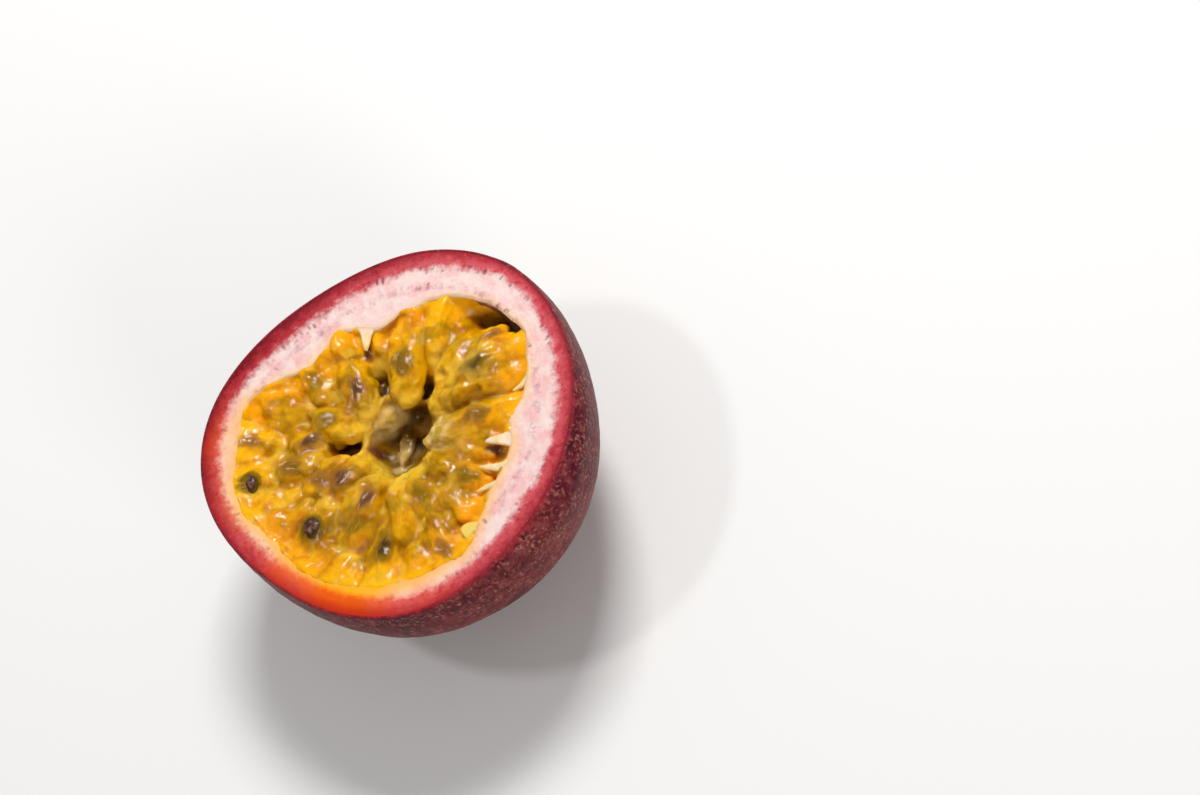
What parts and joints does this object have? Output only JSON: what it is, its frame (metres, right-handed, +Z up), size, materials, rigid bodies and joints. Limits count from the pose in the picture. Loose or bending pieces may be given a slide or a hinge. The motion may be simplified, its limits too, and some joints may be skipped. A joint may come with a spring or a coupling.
{
  "type": "passion fruit half",
  "caption": "Half of a ripe purple passion fruit, cut across and lying on its round side, with its juicy arils and seeds showing in the pale rind.",
  "frame": {"origin": "on the resting face, under the middle of the half as seen from above", "axes": "+Z up out of the cut face, +X along the longer width of the cut face"},
  "size_m": [0.0642, 0.0612, 0.0317],
  "materials": {
    "skin": "leathery maroon skin with fine paler specks and a soft sheen",
    "pith": "moist spongy white pith with a red outer band and fine pinkish-grey dots",
    "pulp": "wet, part-clear orange to olive-yellow juice sacs",
    "seed": "dark brown seed under a wet film"
  },
  "bodies": {
    "root": {"rind": "skin", "pulp": "pulp"}
  },
  "joints": []
}
